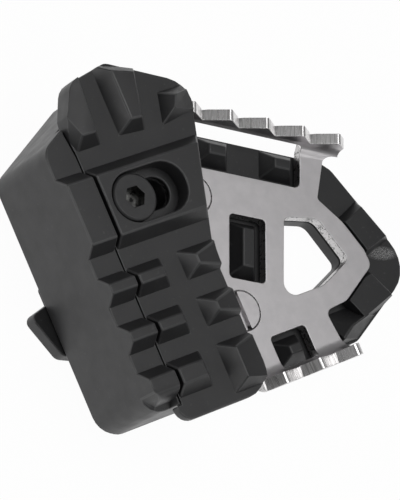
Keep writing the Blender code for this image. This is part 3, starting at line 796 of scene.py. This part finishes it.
@dataclass
class Studio:
    """Pale floor, soft lamps and the camera of the photograph."""

    azimuth: float = math.radians(-81.211)
    elevation: float = math.radians(54.365)
    roll: float = math.radians(59.752)
    distance: float = 666.09 * MM
    target: tuple = (-5.0252 * MM, -3.6138 * MM, 8.0 * MM)
    lens: float = 233.15
    near: float = 10.0 * MM
    floor_size: float = 3.0
    floor_level: float = -0.05 * MM
    pale: tuple = (0.9, 0.9, 0.9)
    white_share: float = 0.97
    world_strength: float = 0.22
    lamps: tuple = (
        Softbox("top_lamp", (0.1, 0.06, 1.2), width=0.9, power=5.8),
        Softbox("side_lamp", (-1.1, 0.2, 0.3), width=0.6, power=3.2),
        Softbox("front_lamp", (0.1, -1.0, 0.8), width=0.6, power=1.2),
        Softbox("right_lamp", (1.0, -0.85, 0.9), width=1.1, power=2.2),
    )

    def build(self) -> None:
        """Build the floor, the lamps, the world and the camera."""
        self.add_floor()
        for lamp in self.lamps:
            lamp.build(Vector(self.target))
        self.light_world()
        self.add_camera()
        bpy.context.scene.view_settings.view_transform = "Standard"

    def add_floor(self) -> None:
        """Lay a pale matt floor under the part."""
        bpy.ops.object.select_all(action="DESELECT")
        bpy.ops.mesh.primitive_plane_add(size=self.floor_size, location=(0.0, 0.0, self.floor_level))
        floor = bpy.context.view_layer.objects.active
        floor.name = "floor"
        shader = Shader("floor_pale", self.pale, roughness=0.9)
        shader.surface.inputs["Specular IOR Level"].default_value = 0.0
        shader.show_white(self.white_share)
        floor.data.materials.append(shader.material)

    def light_world(self) -> None:
        """Light the part faintly from all round."""
        world = bpy.data.worlds.new("studio")
        bpy.context.scene.world = world
        world.use_nodes = True
        background = world.node_tree.nodes["Background"]
        background.inputs["Color"].default_value = (*self.pale, 1.0)
        background.inputs["Strength"].default_value = self.world_strength

    def add_camera(self) -> None:
        """Set the camera where the photograph was taken from."""
        level = math.cos(self.elevation)
        back = Vector((math.sin(self.azimuth) * level, -math.cos(self.azimuth) * level,
                       math.sin(self.elevation)))
        right = Vector((math.cos(self.azimuth), math.sin(self.azimuth), 0.0))
        above = back.cross(right)
        side = right * math.cos(self.roll) + above * math.sin(self.roll)
        head = above * math.cos(self.roll) - right * math.sin(self.roll)
        place = Matrix.Translation(Vector(self.target) + back * self.distance)
        camera = bpy.data.objects.new("camera", bpy.data.cameras.new("camera"))
        camera.data.lens = self.lens
        camera.data.clip_start = self.near
        camera.matrix_world = place @ Matrix((side, head, back)).transposed().to_4x4()
        bpy.context.collection.objects.link(camera)
        bpy.context.scene.camera = camera


FINISHES = {
    "riser_body": MouldedBlack("riser_black"),
    "tread_cap": MouldedBlack("cap_black"),
    # The base carries the painted reflection of its scuffed patch.
    "tread_base": MouldedBlack("base_black", dark=(0.010, 0.010, 0.011),
                               light=(0.014, 0.014, 0.015), scuff_reflection=(42.0 * MM, -16.9 * MM, 3.3 * MM)),
    # Lighter finishes for rounded edges: partly wear, partly a painted highlight along the edges.
    "pad_edge": MouldedBlack("pad_edge_wear_and_sheen", dark=(0.028, 0.028, 0.029),
                             light=(0.055, 0.055, 0.056), gloss=(0.34, 0.44)),
    "base_edge": MouldedBlack("base_edge_wear_and_sheen", dark=(0.018, 0.018, 0.019),
                              light=(0.030, 0.030, 0.031), gloss=(0.34, 0.44)),
    "step_plate": RolledSteel(),
    "torn_wall": TornSteel(),
    "upper_teeth": CutSteel("upper_teeth", turn=UPPER_TURN),
    "lower_teeth": CutSteel("lower_teeth"),
    "pad_screw": ScrewSteel("screw_black", dark=(0.016, 0.016, 0.017), light=(0.024, 0.024, 0.025),
                            gloss=(0.42, 0.5), metal=0.0),
    "socket_bare": ScrewSteel("socket_bare", dark=(0.02, 0.02, 0.02), light=(0.16, 0.16, 0.155),
                              gloss=(0.24, 0.36)),
    "pad_nut": ScrewSteel("pad_nut_steel"),
    "plate_screw": ScrewSteel("plate_screw_steel", dark=(0.575, 0.56, 0.57),
                              light=(0.625, 0.607, 0.617), gloss=(0.36, 0.42)),
    "plate_nut": ScrewSteel("plate_nut_steel"),
}

PARTS = (
    Part("riser_moulding", "riser_body", "pad", "riser_body", edge=0.35 * MM,
         against=("tread_cap",), wear_and_sheen="pad_edge"),
    Part("cap_moulding", "tread_cap", "pad", "tread_cap", edge=0.35 * MM,
         against=("riser_body",), wear_and_sheen="pad_edge"),
    Part("base_moulding", "tread_base", "base", "tread_base", edge=0.3 * MM, wear_and_sheen="base_edge"),
    SheetPart("folded_plate", "step_plate", "base", "step_plate", edge=0.18 * MM,
              against=("plate_screw_upper", "plate_screw_lower")),
    SocketScrew("pad_socket_screw", "pad_screw", "base", "pad_screw", edge=0.15 * MM),
    Part("pad_hex_nut", "pad_nut", "base", "pad_nut", edge=0.15 * MM),
    Part("slotted_screw_upper", "plate_screw_upper", "base", "plate_screw", edge=0.04 * MM),
    Part("slotted_screw_lower", "plate_screw_lower", "base", "plate_screw", edge=0.04 * MM),
    Part("hex_nut_upper", "plate_nut_upper", "base", "plate_nut", edge=0.12 * MM),
    Part("hex_nut_lower", "plate_nut_lower", "base", "plate_nut", edge=0.12 * MM),
)


def corners(box: tuple) -> list:
    """Return a box's two corners as plain lists of numbers."""
    return [list(corner) for corner in box]


def main() -> None:
    """Load the frame, build every piece and the studio."""
    logging.basicConfig(level=logging.INFO)
    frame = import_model()
    materials = {name: finish.make() for name, finish in FINISHES.items()}
    for part in PARTS:
        part.build(frame, materials)
    Studio().build()


if __name__ == "__main__":
    main()
